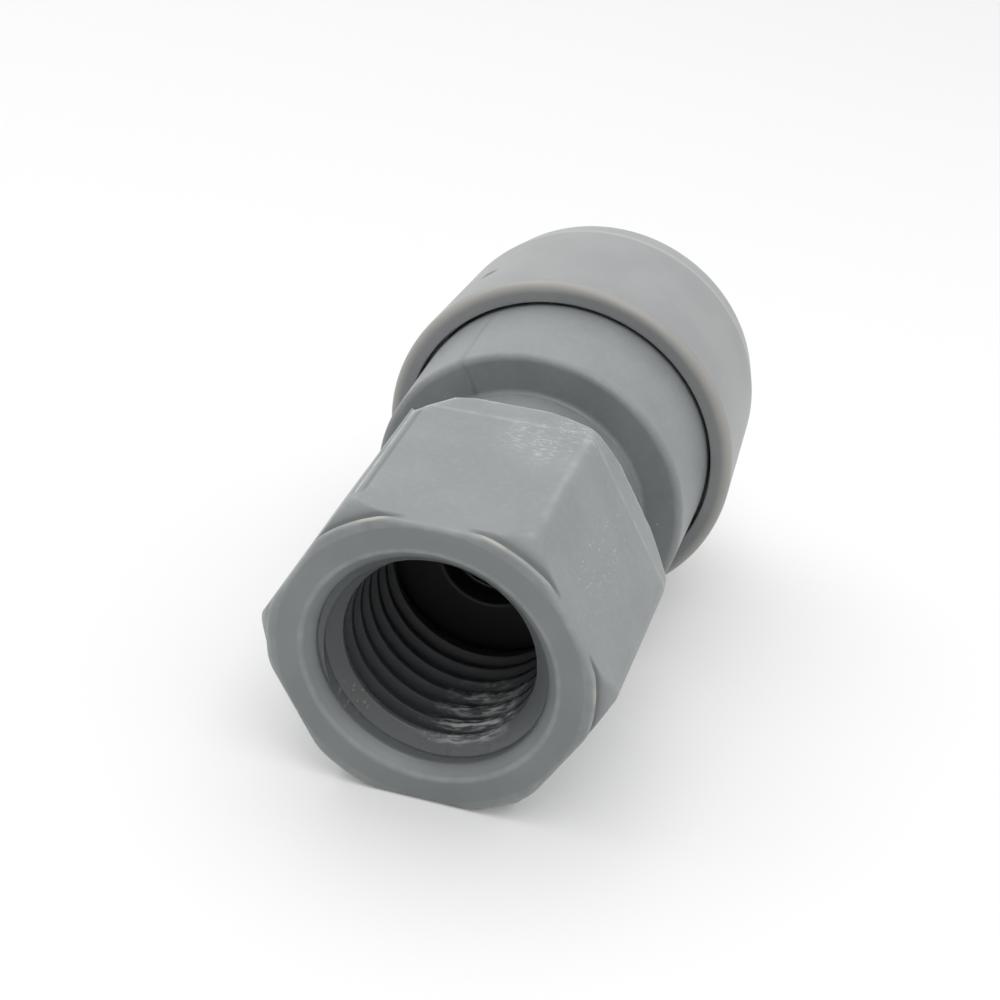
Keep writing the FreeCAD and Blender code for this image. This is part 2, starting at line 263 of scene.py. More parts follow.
@dataclass(frozen=True)
class Workshop:
    """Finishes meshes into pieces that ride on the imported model.

    Attributes:
        axis: the adapter's axis in the model.
        nodes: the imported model's own objects by name.
    """

    axis: AxisFrame
    nodes: dict

    def piece(
        self, name: str, mesh: bmesh.types.BMesh, body: Body, slot: Slot,
        material: bpy.types.Material, replaced: tuple[str, ...] = (),
    ) -> bpy.types.Object:
        """Lay a mesh down, dress it and let it ride.

        Args:
            name: the piece's name.
            mesh: the mesh on the adapter's own axis, in millimetres. It is freed.
            body: the body that the piece moves with.
            slot: the record's material slot; not used.
            material: the piece's finish.
            replaced: the nodes that the piece stands for.

        Returns:
            The finished object, at the origin and unturned.
        """
        mesh.transform(self.axis.matrix)
        for face in mesh.faces:
            face.smooth = True
        data = bpy.data.meshes.new(name)
        mesh.to_mesh(data)
        mesh.free()
        return self.dress(bpy.data.objects.new(name, data), body, slot, material, replaced)

    def merged_copy(
        self, node: str, body: Body, slot: Slot, material: bpy.types.Material, crease_angle: float,
    ) -> bpy.types.Object:
        """Copy a node with its triangles joined, so that its round faces shade smoothly.

        Args:
            node: the node to copy and replace.
            body: the body that the piece moves with.
            slot: the record's material slot; not used.
            material: the piece's finish.
            crease_angle: edges that turn by more than this stay sharp, in degrees.

        Returns:
            The finished object.
        """
        mesh = bmesh.new()
        mesh.from_mesh(self.nodes[node].data)
        bmesh.ops.remove_doubles(mesh, verts=mesh.verts, dist=0.001 * MM)
        for face in mesh.faces:
            face.smooth = True
        for edge in mesh.edges:
            edge.smooth = edge.calc_face_angle(0.0) < math.radians(crease_angle)
        data = bpy.data.meshes.new(f"{node}_skin")
        mesh.to_mesh(data)
        mesh.free()
        return self.dress(bpy.data.objects.new(f"{node}_skin", data), body, slot, material, (node,))

    @staticmethod
    def dress(
        piece: bpy.types.Object, body: Body, slot: Slot, material: bpy.types.Material,
        replaced: tuple[str, ...],
    ) -> bpy.types.Object:
        """Link an object, give it its finish and let it ride on its body."""
        bpy.context.scene.collection.objects.link(piece)
        piece.data.materials.clear()
        piece.data.materials.append(material)
        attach(piece, body.value)
        if replaced:
            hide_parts(*replaced)
        LOG.info("%s rides on %s, %d faces", piece.name, body.value, len(piece.data.polygons))
        return piece


class Bench:
    """Places and wires shader nodes in one tree."""

    def __init__(self, tree: bpy.types.NodeTree) -> None:
        """Start on a tree."""
        self.tree = tree

    def add(self, kind: str, inputs: dict | None = None, **settings) -> bpy.types.Node:
        """Place a node.

        Args:
            kind: the node's type.
            inputs: by socket name or number, a value or the output socket to link.
            settings: the node's own properties.

        Returns:
            The node.
        """
        node = self.tree.nodes.new(kind)
        for key, value in settings.items():
            setattr(node, key, value)
        for key, value in (inputs or {}).items():
            if isinstance(value, bpy.types.NodeSocket):
                self.tree.links.new(value, node.inputs[key])
            else:
                node.inputs[key].default_value = value
        return node

    def math(self, operation: str, *values, clamp: bool = False) -> bpy.types.NodeSocket:
        """Output of a Math node."""
        inputs = dict(enumerate(values))
        return self.add("ShaderNodeMath", inputs, operation=operation, use_clamp=clamp).outputs[0]

    def band(self, value, low: float, high: float, start=0.0, end=1.0) -> bpy.types.NodeSocket:
        """Value mapped smoothly from low..high to start..end, and held beyond them."""
        inputs = {"Value": value, "From Min": low, "From Max": high, "To Min": start, "To Max": end}
        node = self.add("ShaderNodeMapRange", inputs, interpolation_type="SMOOTHSTEP")
        return node.outputs["Result"]

    def within(self, value, limits: tuple[float, ...]) -> bpy.types.NodeSocket:
        """Mask that fades in from the first limit to the second and, if there are four, out again."""
        mask = self.band(value, limits[0], limits[1])
        if len(limits) > 2:
            mask = self.product(mask, self.band(value, limits[3], limits[2]))
        return mask

    def noise_value(self, vector, scale: float, detail: float) -> bpy.types.NodeSocket:
        """Value of a noise texture, about a half on average."""
        inputs = {"Vector": vector, "Scale": scale, "Detail": detail}
        return self.add("ShaderNodeTexNoise", inputs).outputs[0]

    def stretched(self, vector, factors: tuple[float, float, float]) -> bpy.types.NodeSocket:
        """Vector with each of its parts multiplied by its own factor."""
        return self.add("ShaderNodeVectorMath", {0: vector, 1: factors}, operation="MULTIPLY").outputs[0]

    def product(self, *values) -> bpy.types.NodeSocket:
        """Product of two or more values."""
        result = values[0]
        for value in values[1:]:
            result = self.math("MULTIPLY", result, value)
        return result

    def mix(self, factor, first, second) -> bpy.types.NodeSocket:
        """Colour between two colours."""
        node = self.add("ShaderNodeMix", data_type="RGBA")
        for key, value in (("Factor_Float", factor), ("A_Color", first), ("B_Color", second)):
            socket = next(s for s in node.inputs if s.identifier == key)
            if isinstance(value, bpy.types.NodeSocket):
                self.tree.links.new(value, socket)
            else:
                socket.default_value = value
        return next(s for s in node.outputs if s.identifier == "Result_Color")


class EffectGroup:
    """A shader node group that several finishes share."""

    name = "effect"
    takes: dict[str, str] = {}
    gives: dict[str, str] = {}

    def __init__(self) -> None:
        """Build the group once."""
        self.tree = bpy.data.node_groups.new(self.name, "ShaderNodeTree")
        for socket, kind in self.takes.items():
            self.tree.interface.new_socket(socket, in_out="INPUT", socket_type=kind)
        for socket, kind in self.gives.items():
            self.tree.interface.new_socket(socket, in_out="OUTPUT", socket_type=kind)
        bench = Bench(self.tree)
        source = bench.add("NodeGroupInput").outputs
        results = self.wire(bench, source)
        bench.add("NodeGroupOutput", results)

    def wire(self, bench: Bench, source) -> dict:
        """Wire the group's inside and return its outputs by name."""
        raise NotImplementedError

    def use(self, bench: Bench, inputs: dict) -> bpy.types.NodeOutputs:
        """Place the group in a material.

        Args:
            bench: the material's bench.
            inputs: values or sockets by input name.

        Returns:
            The group's outputs.
        """
        return bench.add("ShaderNodeGroup", inputs, node_tree=self.tree).outputs


class AxisPlace(EffectGroup):
    """Place of a point along, around and away from the adapter's axis, in millimetres."""

    name = "axis_place"
    takes = {"Object": "NodeSocketVector"}
    gives = {
        "Place": "NodeSocketVector", "Along": "NodeSocketFloat",
        "Radius": "NodeSocketFloat", "Angle": "NodeSocketFloat",
    }

    def __init__(self, axis: AxisFrame) -> None:
        """Build the group for one axis."""
        self.axis = axis
        super().__init__()

    def wire(self, bench: Bench, source) -> dict:
        """Undo the lay-down, then measure from the axis. The angle is in degrees from the left."""
        place = bench.add("ShaderNodeMapping", {
            "Vector": source["Object"], "Location": self.axis.nose,
            "Rotation": self.axis.turn.to_euler(), "Scale": (MM, MM, MM),
        }, vector_type="TEXTURE").outputs[0]
        parts = bench.add("ShaderNodeSeparateXYZ", {0: place}).outputs
        across = bench.product(parts["Y"], parts["Y"])
        upright = bench.product(parts["Z"], parts["Z"])
        radius = bench.math("SQRT", bench.math("ADD", across, upright))
        angle = bench.math("DEGREES", bench.math("ARCTAN2", parts["Z"], parts["Y"]))
        return {"Place": place, "Along": parts["X"], "Radius": radius, "Angle": angle}


class MouldedGrain(EffectGroup):
    """Fine grain and slow clouding of a moulded surface."""

    name = "moulded_grain"
    takes = {"Place": "NodeSocketVector"}
    gives = {"Height": "NodeSocketFloat", "Clouding": "NodeSocketFloat"}

    def wire(self, bench: Bench, source) -> dict:
        """Two scales of grain for the height, one slow noise for the clouding."""
        fine = bench.noise_value(source["Place"], scale=7.0, detail=3.0)
        broad = bench.noise_value(source["Place"], scale=1.3, detail=2.0)
        slow = bench.noise_value(source["Place"], scale=0.22, detail=3.0)
        return {"Height": bench.math("ADD", fine, bench.product(broad, 2.0)), "Clouding": slow}


class Specks(EffectGroup):
    """Scattered small specks, such as dust, nicks or dirt."""

    name = "specks"
    takes = {
        "Place": "NodeSocketVector", "Density": "NodeSocketFloat",
        "Scale": "NodeSocketFloat", "Size": "NodeSocketFloat",
    }
    gives = {"Mask": "NodeSocketFloat"}

    def wire(self, bench: Bench, source) -> dict:
        """Keep a share of the cells, each with a dot of its own size around its point."""
        warp = bench.add("ShaderNodeTexNoise", {"Vector": source["Place"], "Scale": 5.0, "Detail": 1.0})
        bent = bench.stretched(warp.outputs["Color"], (0.16, 0.16, 0.16))
        place = bench.add("ShaderNodeVectorMath", {0: source["Place"], 1: bent}, operation="ADD")
        cells = bench.add("ShaderNodeTexVoronoi", {"Vector": place.outputs[0], "Scale": source["Scale"]})
        chance = bench.add("ShaderNodeSeparateColor", {0: cells.outputs["Color"]}).outputs
        kept = bench.math("LESS_THAN", chance[0], source["Density"])
        reach = bench.product(source["Size"], chance[1])
        off = bench.math("DIVIDE", cells.outputs["Distance"], reach)
        inside = bench.math("SUBTRACT", 1.0, off, clamp=True)
        dot = bench.math("MULTIPLY", inside, 3.0, clamp=True)
        return {"Mask": bench.product(kept, dot)}


class Patch(EffectGroup):
    """A soft patch around one place on the skin, broken up by noise."""

    name = "patch"
    takes = {
        "Place": "NodeSocketVector", "Along": "NodeSocketFloat", "Angle": "NodeSocketFloat",
        "At Along": "NodeSocketFloat", "At Angle": "NodeSocketFloat",
        "Length": "NodeSocketFloat", "Sweep": "NodeSocketFloat", "Ragged": "NodeSocketFloat",
    }
    gives = {"Mask": "NodeSocketFloat"}

    def wire(self, bench: Bench, source) -> dict:
        """Fall off with the distance along and around the axis, shifted by noise."""
        ahead = bench.math("SUBTRACT", source["Along"], source["At Along"])
        ahead = bench.math("DIVIDE", ahead, source["Length"])
        around = bench.math("SUBTRACT", source["Angle"], source["At Angle"])
        around = bench.math("DIVIDE", bench.math("WRAP", around, 180.0, -180.0), source["Sweep"])
        far = bench.math("ADD", bench.product(ahead, ahead), bench.product(around, around))
        far = bench.math("SQRT", far)
        rough = bench.noise_value(source["Place"], scale=1.6, detail=4.0)
        shift = bench.product(bench.math("SUBTRACT", rough, 0.5), source["Ragged"])
        return {"Mask": bench.band(bench.math("ADD", far, shift), 0.3, 1.0, 1.0, 0.0)}


@dataclass(frozen=True)
class Effects:
    """The shared effects, built once."""

    place: AxisPlace
    grain: MouldedGrain
    specks: Specks
    patch: Patch

    @classmethod
    def build(cls, axis: AxisFrame) -> "Effects":
        """Build every group for one axis."""
        return cls(AxisPlace(axis), MouldedGrain(), Specks(), Patch())


class Measure(Enum):
    """How a point's place is measured: along the axis, away from it or around it."""

    ALONG = "Along"
    RADIUS = "Radius"
    ANGLE = "Angle"


class Skin(Bench):
    """The bench of one finish, with the shared effects and each point's place at hand."""

    def __init__(self, tree: bpy.types.NodeTree, effects: Effects) -> None:
        """Start on a material's tree and measure its points."""
        super().__init__(tree)
        self.effects = effects
        spot = self.add("ShaderNodeTexCoord").outputs["Object"]
        self.place = effects.place.use(self, {"Object": spot})

    def measured(self, measure: Measure) -> bpy.types.NodeSocket:
        """A measure of each point's place, in millimetres or degrees."""
        return self.place[measure.value]

    def spread(self, parts: tuple) -> bpy.types.NodeSocket:
        """Mask of several marks or zones together."""
        masks = [part.mask(self) for part in parts]
        total = masks[0]
        for mask in masks[1:]:
            total = self.math("MAXIMUM", total, mask)
        return total


@dataclass(frozen=True)
class Mark:
    """Where a ragged patch of wear, of dirt or of painted glints lies on the skin.

    Attributes:
        along: its middle along the axis, in millimetres.
        angle: its middle around the axis, in degrees.
        length: half its length along the axis, in millimetres.
        sweep: half its width around the axis, in degrees.
        ragged: how much noise breaks its edge.
    """

    along: float
    angle: float
    length: float
    sweep: float
    ragged: float

    def mask(self, skin: Skin) -> bpy.types.NodeSocket:
        """Mask of the mark in one material."""
        return skin.effects.patch.use(skin, {
            "Place": skin.place["Place"], "Along": skin.place["Along"], "Angle": skin.place["Angle"],
            "At Along": self.along, "At Angle": self.angle,
            "Length": self.length, "Sweep": self.sweep, "Ragged": self.ragged,
        })["Mask"]


@dataclass(frozen=True)
class Scatter:
    """How specks are scattered.

    Attributes:
        density: share of the cells that hold a speck.
        scale: number of cells in a millimetre.
        size: reach of the largest speck, as a share of its cell.
    """

    density: float
    scale: float
    size: float

    def mask(self, skin: Skin) -> bpy.types.NodeSocket:
        """Mask of the specks in one material."""
        return skin.effects.specks.use(skin, {
            "Place": skin.place["Place"], "Density": self.density, "Scale": self.scale, "Size": self.size,
        })["Mask"]


@dataclass(frozen=True)
class Blotches:
    """Noise between soft limits, which leaves blotches or drawn-out streaks.

    Attributes:
        scale: number of blotches in a millimetre.
        detail: number of finer layers of noise.
        limits: noise where a blotch starts and where it is full.
        least: the mask's lowest value.
        most: the mask's highest value.
        stretch: factors on the place. A larger one makes the blotches narrower that way.
    """

    scale: float
    detail: float
    limits: tuple[float, float]
    least: float = 0.0
    most: float = 1.0
    stretch: tuple[float, float, float] = (1.0, 1.0, 1.0)

    def mask(self, skin: Skin, place=None) -> bpy.types.NodeSocket:
        """Mask of the blotches in one material, over its own place unless another one is given."""
        drawn = skin.stretched(skin.place["Place"] if place is None else place, self.stretch)
        noisy = skin.noise_value(drawn, self.scale, self.detail)
        return skin.band(noisy, *self.limits, self.least, self.most)


@dataclass(frozen=True)
class Slant:
    """Limits on a measure plus a share of another one, for an edge that runs at a slope.

    Attributes:
        measure: the first measure.
        slope: share of the second measure that is added to the first.
        other: the second measure.
        limits: limits on the sum.
    """

    measure: Measure
    slope: float
    other: Measure
    limits: tuple[float, ...]

    def mask(self, skin: Skin) -> bpy.types.NodeSocket:
        """Mask of the slanted limits in one material."""
        share = skin.product(skin.measured(self.other), self.slope)
        return skin.within(skin.math("ADD", skin.measured(self.measure), share), self.limits)


@dataclass(frozen=True)
class Zone:
    """A part of the skin between soft limits, such as an edge with a painted highlight or a groove with
    painted shade.

    Two limits fade the zone in from the first to the second. Four fade it in and out again.

    Attributes:
        along: limits along the axis, in millimetres.
        radius: limits away from the axis, in millimetres.
        angle: limits around the axis, in degrees.
        slant: limits on an edge that runs at a slope.
        strength: the mask's highest value.
    """

    along: tuple[float, ...] = ()
    radius: tuple[float, ...] = ()
    angle: tuple[float, ...] = ()
    slant: Slant | None = None
    strength: float = 1.0

    def mask(self, skin: Skin) -> bpy.types.NodeSocket:
        """Mask of the zone in one material."""
        spans = {Measure.ALONG: self.along, Measure.RADIUS: self.radius, Measure.ANGLE: self.angle}
        masks = [skin.within(skin.measured(measure), limits) for measure, limits in spans.items() if limits]
        if self.slant:
            masks.append(self.slant.mask(skin))
        return skin.product(*masks, self.strength)


@dataclass(frozen=True)
class Finish:
    """A surface finish.

    Attributes:
        name: the material's name.
        colour: linear base colour.
        roughness: roughness of the clean surface.
        grain: depth of the grain's bump.
        metallic: 1 for metal, 0 otherwise.
        glow_through: share of the light that scatters under the surface.
        glow_depth: how far it scatters, in millimetres.
        gloss: strength of the reflection, 0.5 for plain plastic.
        clouding: how far the slow clouding lightens and darkens the colour.
        cloud_limits: values of the clouding where the colour is deepest and lightest.
    """

    name: str
    colour: tuple[float, float, float]
    roughness: float
    grain: float
    metallic: float = 0.0
    glow_through: float = 0.0
    glow_depth: float = 1.2
    gloss: float = 0.5
    clouding: float = 0.05
    cloud_limits: tuple[float, float] = (0.35, 0.65)

    def shade(self, skin: Skin, base) -> tuple:
        """Add the finish's own marks.

        Args:
            skin: the material's bench.
            base: the base colour with its clouding.

        Returns:
            Colour, roughness and extra height as sockets or values.
        """
        return base, self.roughness, 0.0

    def clouded(self, skin: Skin, clouds: bpy.types.NodeSocket) -> bpy.types.NodeSocket:
        """Base colour, a little lighter and darker in slow clouds."""
        light = tuple(min(1.0, value * (1 + self.clouding)) for value in self.colour) + (1.0,)
        deep = tuple(value * (1 - self.clouding) for value in self.colour) + (1.0,)
        return skin.mix(skin.within(clouds, self.cloud_limits), deep, light)

    def build(self, effects: Effects) -> bpy.types.Material:
        """Make the material."""
        material = bpy.data.materials.new(self.name)
        material.use_nodes = True
        material.node_tree.nodes.clear()
        skin = Skin(material.node_tree, effects)
        grain = effects.grain.use(skin, {"Place": skin.place["Place"]})
        colour, roughness, height = self.shade(skin, self.clouded(skin, grain["Clouding"]))
        relief = skin.math("ADD", skin.product(grain["Height"], self.grain), height)
        bump = skin.add("ShaderNodeBump", {"Strength": 1.0, "Distance": MM, "Height": relief})
        shader = skin.add("ShaderNodeBsdfPrincipled", {
            "Base Color": colour, "Roughness": roughness, "Metallic": self.metallic,
            "Subsurface Weight": self.glow_through, "Subsurface Radius": (1.0, 1.0, 1.0),
            "Subsurface Scale": self.glow_depth * MM, "Normal": bump.outputs[0],
            "Specular IOR Level": self.gloss,
        })
        skin.add("ShaderNodeOutputMaterial", {"Surface": shader.outputs[0]})
        return material


@dataclass(frozen=True)
class BodyFinish(Finish):
    """Grey moulding with scuffs, a worn nose rim, painted highlights on its edges, and painted shade and
    glints in the port.
    """

    outside: Zone = Zone(radius=(6.2, 6.6))
    wear_colour: Colour = (0.62, 0.63, 0.60, 1.0)
    wear_strength: float = 0.65
    wear_height: float = 0.015

    # Scuffs, pits, dust and mottling
    scuffed: tuple[Mark, ...] = (
        Mark(12.2, 117.0, 2.8, 15.0, 0.8),
        Mark(10.4, 100.0, 2.4, 12.0, 1.1),
        Mark(9.2, 109.0, 2.2, 9.0, 1.6),
    )
    nicks: Scatter = Scatter(0.45, 6.0, 0.42)
    nick_strength: float = 0.6
    scuff_haze: float = 0.05
    streaks: Blotches = Blotches(1.6, 4.0, (0.5, 0.72), most=0.6, stretch=(4.0, 1.3, 1.3))
    pitted: Mark = Mark(6.0, 147.0, 6.0, 17.0, 1.2)
    pit_strength: float = 0.7
    dust: Scatter = Scatter(0.02, 1.9, 0.2)
    dusty: Zone = Zone(along=(0.5, 0.8))
    mottled: Zone = Zone(along=(0.5, 1.5), strength=0.045)
    mottling: Blotches = Blotches(2.6, 4.0, (0.45, 0.75))

    # Painted shade in the groove behind the nose's rim, in the groove beside the flash, and beside the seam
    # on the barrel
    shaded_grooves: tuple[Zone, ...] = (
        Zone(along=(0.14, 0.24, 0.44, 0.66), radius=(8.12, 8.24), strength=0.6),
        Zone(along=(1.6, 2.4, 10.6, 11.2), radius=(7.8, 7.9), angle=(61.5, 62.0, 62.8, 63.4), strength=0.4),
        Zone(along=(14.0, 15.0), radius=(6.4, 6.5), angle=(60.6, 61.3, 61.6, 63.4), strength=0.2),
    )
    groove_shade_colour: Colour = (0.085, 0.09, 0.09, 1.0)

    # Painted highlights on the nose's rim, the port's mouth and the corner of the nose's chamfer
    nose_highlights: tuple[Zone, ...] = (
        Zone(along=(0.26, 0.12), radius=(7.74, 7.86), strength=0.35),
        Zone(along=(0.2, 0.05), radius=(6.25, 6.42, 6.6, 6.75), strength=0.4),
        Zone(
            along=(0.5, 0.7, 2.2, 2.5), strength=0.6,
            slant=Slant(Measure.RADIUS, -0.649, Measure.ALONG, (8.16, 8.25, 8.3, 8.38)),
        ),
    )

    # Painted highlights on the back chamfer, back face, corner cut back, crease of the bevel, flash, and the
    # corner beside the scuffs
    hexagon_highlights: tuple[Zone, ...] = (
        Zone(slant=Slant(Measure.RADIUS, 0.869, Measure.ALONG, (19.83, 19.95))),
        Zone(along=(13.24, 13.34)),
        Zone(
            angle=(60.2, 60.8, 70.0, 71.0),
            slant=Slant(Measure.ALONG, -0.3, Measure.ANGLE, (-7.98, -7.84)),
        ),
        Zone(along=(11.2, 11.45, 11.5, 11.75), strength=0.45),
        Zone(along=(1.5, 1.9), angle=(59.9, 60.4, 60.9, 61.4), strength=0.9),
        Zone(along=(2.4, 3.4), angle=(117.4, 119.2, 119.6, 121.0), strength=0.4),
    )
    hexagon: Zone = Zone(along=(13.7, 13.55), radius=(7.6, 7.8))
    edge_highlight_colour: Colour = (0.42, 0.44, 0.44, 1.0)
    edge_highlight_strength: float = 0.7
    highlight_patches: Blotches = Blotches(0.9, 3.0, (0.35, 0.65), least=0.35)

    # Cream wear on the nose's rim
    rim: Zone = Zone(along=(0.3, 0.12), radius=(8.23, 8.29), strength=0.45)
    rim_wear: tuple[Mark, ...] = (
        Mark(0.1, 68.0, 0.5, 7.0, 0.9),
        Mark(0.1, 108.0, 0.5, 7.0, 1.0),
        Mark(0.1, 176.0, 0.7, 5.0, 0.9),
    )
    rim_colour: Colour = (0.46, 0.43, 0.35, 1.0)

    # Painted shade in the port, a wet patch with painted glints on its ridges, and dirt at its mouth
    port: Zone = Zone(radius=(5.95, 5.75))
    # Painted shade on the wall just inside the mouth
    port_wall: Zone = Zone(along=(0.2, 0.8), radius=(5.45, 5.6, 5.95, 6.5), strength=0.5)
    port_roughness: float = 0.3
    port_shade_colour: Colour = (0.038, 0.042, 0.048, 1.0)
    mouth_shade: float = 0.5
    shade_deepens: tuple[float, float] = (0.8, 3.0)
    # The wet patch: a lower roughness, and painted glints on the ridges
    wet_glint_patch: Mark = Mark(3.6, 248.0, 4.0, 34.0, 0.8)
    wet_roughness: float = 0.12
    glints: Blotches = Blotches(1.3, 5.0, (0.4, 0.66), stretch=(6.0, 0.075, 4.0))
    crests: Zone = Zone(radius=(5.42, 5.14), strength=0.9)
    # Painted highlight: colour of the glints on the ridges
    glint_highlight_colour: Colour = (0.5, 0.52, 0.51, 1.0)
    crumbs: Scatter = Scatter(0.7, 4.6, 0.7)
    clots: tuple[Mark, ...] = (
        Mark(1.9, 268.0, 1.0, 15.0, 0.9),
        Mark(1.3, 318.0, 0.9, 14.0, 1.0),
    )
    dirt_colour: Colour = (0.27, 0.22, 0.18, 1.0)
    dirt_strength: float = 0.8
    dirt_height: float = 0.05

    def scuffs(self, skin: Skin) -> bpy.types.NodeSocket:
        """Mask of the nicks, streaks and haze beside one back corner, and of the pits on one flat."""
        nicks = self.nicks.mask(skin)
        rubbed = skin.math("MAXIMUM", skin.product(nicks, self.nick_strength), self.streaks.mask(skin))
        rubbed = skin.math("ADD", rubbed, self.scuff_haze, clamp=True)
        pits = skin.product(self.pitted.mask(skin), nicks, self.pit_strength)
        return skin.math("MAXIMUM", skin.product(skin.spread(self.scuffed), rubbed), pits)

    def edge_highlights(self, skin: Skin) -> bpy.types.NodeSocket:
        """Mask of the painted highlights along the edges: the nose's rim, the mouth and the hexagon's edges.
        """
        hexagon = skin.product(skin.spread(self.hexagon_highlights), self.hexagon.mask(skin))
        edges = skin.math("MAXIMUM", skin.spread(self.nose_highlights), hexagon)
        return skin.product(edges, self.highlight_patches.mask(skin), self.edge_highlight_strength)

    def painted_glints(self, skin: Skin) -> bpy.types.NodeSocket:
        """Mask of the painted glints, drawn out along the thread's ridges."""
        unrolled = skin.add("ShaderNodeCombineXYZ", {
            "X": skin.place["Along"], "Y": skin.place["Angle"], "Z": skin.place["Radius"],
        }).outputs[0]
        return skin.product(self.glints.mask(skin, unrolled), self.crests.mask(skin))

    def shade(self, skin: Skin, base) -> tuple:
        """Scuffs, dust, painted shade in the grooves, painted highlights on the edges and a cream rim
        outside, and painted shade, painted glints and dirt in the port.
        """
        outside = self.outside.mask(skin)
        mottled = skin.product(self.mottling.mask(skin), self.mottled.mask(skin), outside)
        colour = skin.mix(mottled, base, self.wear_colour)
        dust = skin.product(self.dust.mask(skin), self.dusty.mask(skin))
        worn = skin.math("ADD", self.scuffs(skin), dust, clamp=True)
        worn = skin.product(worn, outside, self.wear_strength)
        colour = skin.mix(worn, colour, self.wear_colour)
        # Painted shade: the grooves and the seam are darkened in colour
        colour = skin.mix(skin.spread(self.shaded_grooves), colour, self.groove_shade_colour)
        # Painted highlights: the edges are lightened in colour, broken into patches
        colour = skin.mix(self.edge_highlights(skin), colour, self.edge_highlight_colour)
        rim = skin.product(self.rim.mask(skin), skin.spread(self.rim_wear))
        colour = skin.mix(rim, colour, self.rim_colour)
        port = self.port.mask(skin)
        # Painted shade: the port is darkened, least at its mouth and most deeper in
        deeper = skin.band(skin.place["Along"], *self.shade_deepens, self.mouth_shade, 1.0)
        port_shaded = skin.math("MAXIMUM", skin.product(port, deeper), self.port_wall.mask(skin))
        colour = skin.mix(port_shaded, colour, self.port_shade_colour)
        wet_glint_patch = skin.product(port, self.wet_glint_patch.mask(skin))
        # Painted highlights: pale glints on the ridges in the wet patch, which also gets the lower roughness
        # below
        colour = skin.mix(skin.product(wet_glint_patch, self.painted_glints(skin)), colour, self.glint_highlight_colour)
        behind_mouth = skin.math("SUBTRACT", 1.0, outside)
        dirt = skin.product(skin.spread(self.clots), self.crumbs.mask(skin), behind_mouth)
        colour = skin.mix(skin.product(dirt, self.dirt_strength), colour, self.dirt_colour)
        dry = skin.band(port, 0.0, 1.0, self.roughness, self.port_roughness)
        roughness = skin.band(wet_glint_patch, 0.0, 1.0, dry, self.wet_roughness)
        height = skin.math("ADD", skin.product(worn, self.wear_height), skin.product(dirt, self.dirt_height))
        return colour, roughness, height


@dataclass(frozen=True)
class CollarFinish(Finish):
    """Smoother grey moulding with one dark scratch, and a lip and a crease painted paler: partly wear, partly
    painted highlight.
    """

    outside: Zone = Zone(radius=(9.9, 10.0), strength=0.95)
    scratch: Mark = Mark(28.95, 54.3, 0.6, 4.4, 0.8)
    scratch_colour: Colour = (0.06, 0.06, 0.065, 1.0)
    scratch_height: float = -0.06
    # Partly a brownish wear tint, partly a painted highlight on the lip's front
    lip: Zone = Zone(along=(25.05, 24.7), radius=(9.75, 10.4), strength=0.5)
    lip_colour: Colour = (0.4, 0.38, 0.34, 1.0)
    # Partly wear, partly a painted highlight along the crease of the back chamfer
    crease: Zone = Zone(along=(34.1, 34.3, 34.45, 34.75), strength=0.5)
    crease_colour: Colour = (0.42, 0.42, 0.42, 1.0)

    def shade(self, skin: Skin, base) -> tuple:
        """Lip and crease lightened, partly as wear and partly as a painted highlight, and one short scratch
        on the upper left, pressed in a little.
        """
        scratched = skin.product(self.scratch.mask(skin), self.outside.mask(skin))
        colour = skin.mix(self.lip.mask(skin), base, self.lip_colour)
        colour = skin.mix(self.crease.mask(skin), colour, self.crease_colour)
        colour = skin.mix(scratched, colour, self.scratch_colour)
        return colour, self.roughness, skin.product(scratched, self.scratch_height)


